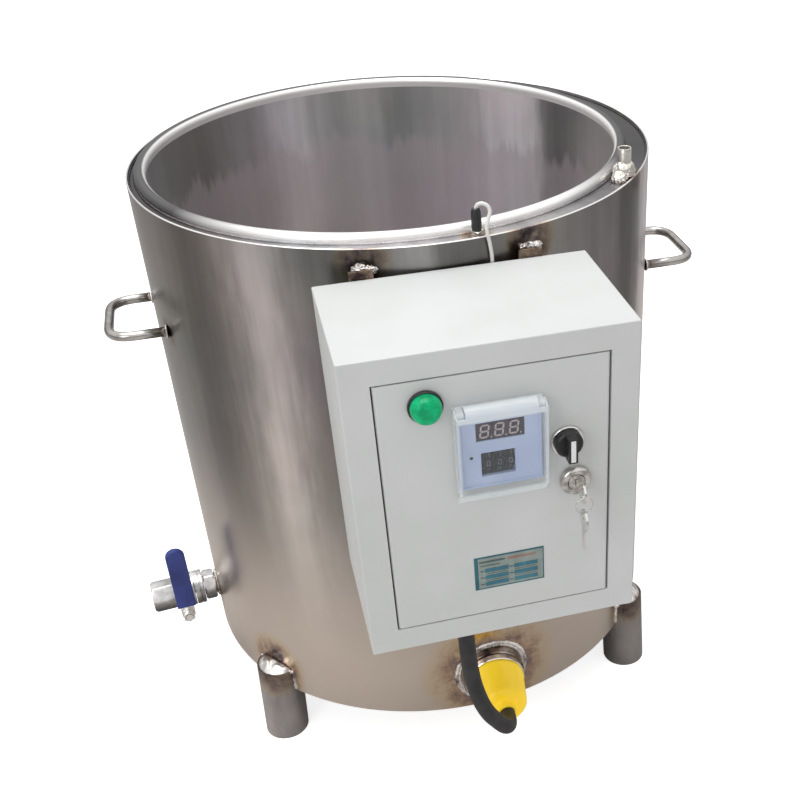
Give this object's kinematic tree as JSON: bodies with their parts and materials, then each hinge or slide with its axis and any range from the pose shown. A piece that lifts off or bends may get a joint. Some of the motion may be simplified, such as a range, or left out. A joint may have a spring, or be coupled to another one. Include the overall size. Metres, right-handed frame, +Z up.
{
  "type": "wax melting machine",
  "caption": "Jacketed stainless wax melter for candle making: round pot in a water jacket, immersion heater, drain ball valve, side handles, legs and a lockable control box.",
  "frame": {"origin": "middle of the bounding box at floor level", "axes": "+Z up; the control box faces -Y; the drain valve points to -X"},
  "size_m": [0.6794, 0.741, 0.6736],
  "materials": {
    "stainless_sheet": "brushed, with vertical grain",
    "stainless_fittings": "polished",
    "steel_dull": "dull, with welding tint",
    "box_paint": "light grey powder coat",
    "zinc_sheet": "zinc plated",
    "black_plastic": "matt black",
    "gear_grey": "matt grey mouldings",
    "cap_yellow": "semi-gloss yellow",
    "lever_blue": "dipped vinyl",
    "lens_green": "glossy green",
    "controller_shell": "pale blue face",
    "clear_cover": "clear moulded plastic",
    "seat_white": "white sealing plastic",
    "cable_black": "matt black sheath",
    "lead_white": "white braided lead"
  },
  "bodies": {
    "vessel": {"outer_shell": "stainless_sheet", "inner_pot": "stainless_sheet", "fill_port": "stainless_sheet", "shell_bottom": "steel_dull", "jacket_top_ring": "steel_dull", "leg_front_left": "steel_dull", "leg_front_right": "steel_dull", "leg_rear_left": "steel_dull", "leg_rear_right": "steel_dull", "drain_pipe": "steel_dull", "valve_body": "steel_dull", "valve_end": "steel_dull", "heater_socket": "steel_dull", "heater_element_left": "steel_dull", "heater_element_right": "steel_dull", "box_bracket_left": "steel_dull", "box_bracket_right": "steel_dull", "handle_left": "stainless_fittings", "handle_right": "stainless_fittings", "probe_fitting": "stainless_fittings", "probe_rod": "stainless_fittings", "drain_nipple": "stainless_fittings", "packing_nut": "stainless_fittings", "heater_plug": "stainless_fittings", "hinge_pin_upper": "stainless_fittings", "hinge_pin_lower": "stainless_fittings", "box_body": "box_paint", "mounting_plate": "zinc_sheet", "probe_sleeve": "black_plastic", "cable_gland": "black_plastic", "lead_gland": "black_plastic", "contactor": "gear_grey", "terminal_block": "gear_grey", "heater_cap": "cap_yellow", "ball_seat_inner": "seat_white", "ball_seat_outer": "seat_white", "heater_cable": "cable_black", "probe_lead": "lead_white"},
    "valve_handle": {"valve_ball": "stainless_fittings", "valve_stem": "stainless_fittings", "valve_lever": "stainless_fittings", "lever_grip": "lever_blue", "lever_nut": "stainless_fittings"},
    "door": {"box_door": "box_paint", "lamp_housing": "black_plastic", "lamp_lens": "lens_green", "controller_case": "controller_shell", "cover_frame": "clear_cover", "selector_housing": "stainless_fittings", "lock_barrel": "stainless_fittings"},
    "lock": {"lock_plug": "stainless_fittings", "lock_cam": "steel_dull", "key": "stainless_fittings"},
    "ring": {"key_ring": "stainless_fittings"},
    "hanging_key": {"spare_key": "stainless_fittings"},
    "selector": {"selector_knob": "black_plastic"},
    "wheel_hundreds": {"thumbwheel_hundreds": "black_plastic"},
    "wheel_tens": {"thumbwheel_tens": "black_plastic"},
    "wheel_units": {"thumbwheel_units": "black_plastic"},
    "lid": {"controller_cover": "clear_cover"}
  },
  "joints": [
    {"name": "valve_turn", "type": "hinge", "parent": "vessel", "child": "valve_handle", "pos_m": [-0.30029, 0.06233, 0.127], "axis": [0.1045, -0.9945, 0], "range_deg": [0, 90]},
    {"name": "door_hinge", "type": "hinge", "parent": "vessel", "child": "door", "pos_m": [-0.07605, -0.32893, 0.467], "axis": [0, 0, -1], "range_deg": [0, 100]},
    {"name": "lock_turn", "type": "hinge", "parent": "door", "child": "lock", "pos_m": [0.08655, -0.33253, 0.4735], "axis": [0, -1, 0], "range_deg": [0, 90]},
    {"name": "key_ring_swing", "type": "hinge", "parent": "lock", "child": "ring", "pos_m": [0.08655, -0.36052, 0.4712], "axis": [-1, 0, 0], "range_deg": [-10, 45]},
    {"name": "spare_key_swing", "type": "hinge", "parent": "ring", "child": "hanging_key", "pos_m": [0.08655, -0.36052, 0.4552], "axis": [-1, 0, 0], "range_deg": [-10, 40]},
    {"name": "selector_turn", "type": "hinge", "parent": "door", "child": "selector", "pos_m": [0.07955, -0.33253, 0.5145], "axis": [0, -1, 0], "range_deg": [-45, 45]},
    {"name": "cover_lift", "type": "hinge", "parent": "door", "child": "lid", "pos_m": [0.02075, -0.34253, 0.5605], "axis": [-1, 0, 0], "range_deg": [0, 100]},
    {"name": "thumbwheel_hundreds_spin", "type": "hinge", "parent": "door", "child": "wheel_hundreds", "pos_m": [0.00855, -0.32472, 0.5075], "axis": [1, 0, 0], "continuous": true},
    {"name": "thumbwheel_tens_spin", "type": "hinge", "parent": "door", "child": "wheel_tens", "pos_m": [0.01815, -0.32472, 0.5075], "axis": [1, 0, 0], "continuous": true},
    {"name": "thumbwheel_units_spin", "type": "hinge", "parent": "door", "child": "wheel_units", "pos_m": [0.02775, -0.32472, 0.5075], "axis": [1, 0, 0], "continuous": true}
  ]
}
